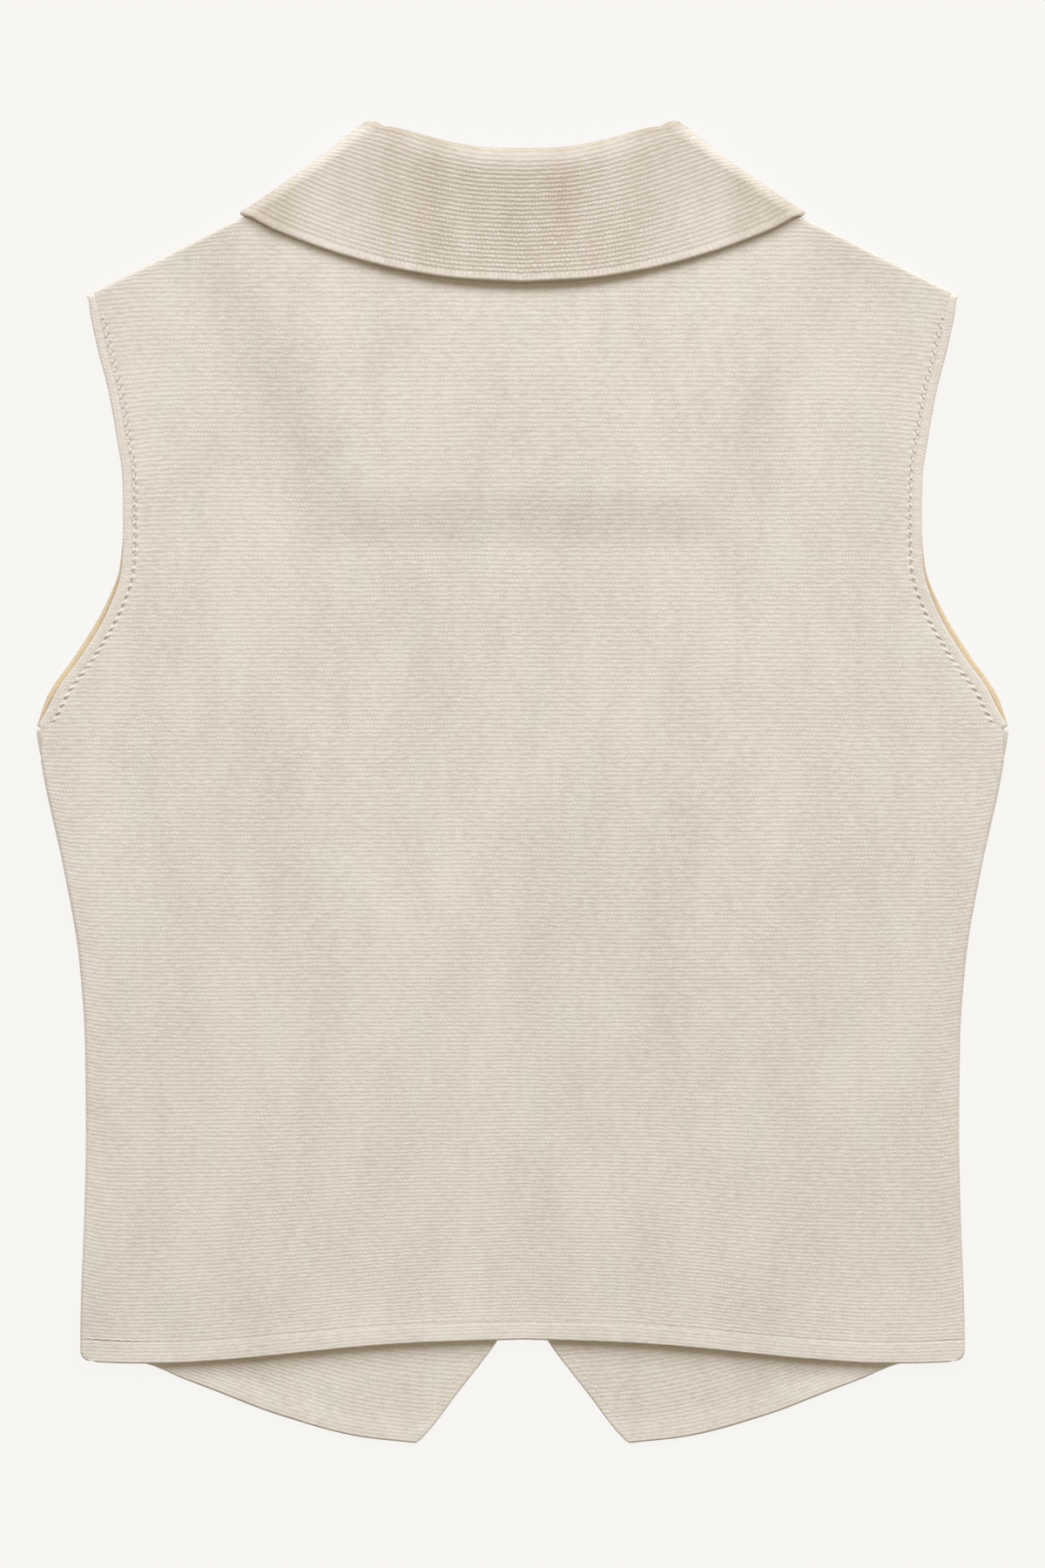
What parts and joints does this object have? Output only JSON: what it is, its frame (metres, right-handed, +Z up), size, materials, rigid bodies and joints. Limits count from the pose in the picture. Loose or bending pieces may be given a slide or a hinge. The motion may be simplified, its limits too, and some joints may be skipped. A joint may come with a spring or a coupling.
{
  "type": "zip-up knitted vest",
  "caption": "Sleeveless fine-knit zip-up vest with a folded-down collar and pointed fronts, laid flat on its front with the back up.",
  "frame": {"origin": "on the surface that the vest lies on, below the middle of its outline", "axes": "+X across the garment to the wearer's right, +Y from the hem to the neck, +Z up out of the surface"},
  "size_m": [0.429, 0.5799, 0.0128],
  "materials": {
    "body_knit": "fine cream knit, matt",
    "collar_knit": "cream knit with raised courses, matt",
    "binding_knit": "smooth cream knit strip, matt",
    "zip_tape": "woven tape, matt",
    "zip_metal": "satin"
  },
  "bodies": {
    "garment": {"back": "body_knit", "front_left": "body_knit", "front_right": "body_knit", "collar": "collar_knit", "armhole_binding_left": "binding_knit", "armhole_binding_right": "binding_knit", "zip_tape_left": "zip_tape", "zip_tape_right": "zip_tape", "zip_chain": "zip_metal", "zip_slider": "zip_metal", "zip_stop_left": "zip_metal", "zip_stop_right": "zip_metal", "zip_box": "zip_metal"},
    "pull_tab": {"zip_pull_tab": "zip_metal"}
  },
  "joints": [
    {"name": "pull_tab_hinge", "type": "hinge", "parent": "garment", "child": "pull_tab", "pos_m": [0, 0.19125, 0.00175], "axis": [1, 0, 0], "range_deg": [0, 160]}
  ]
}
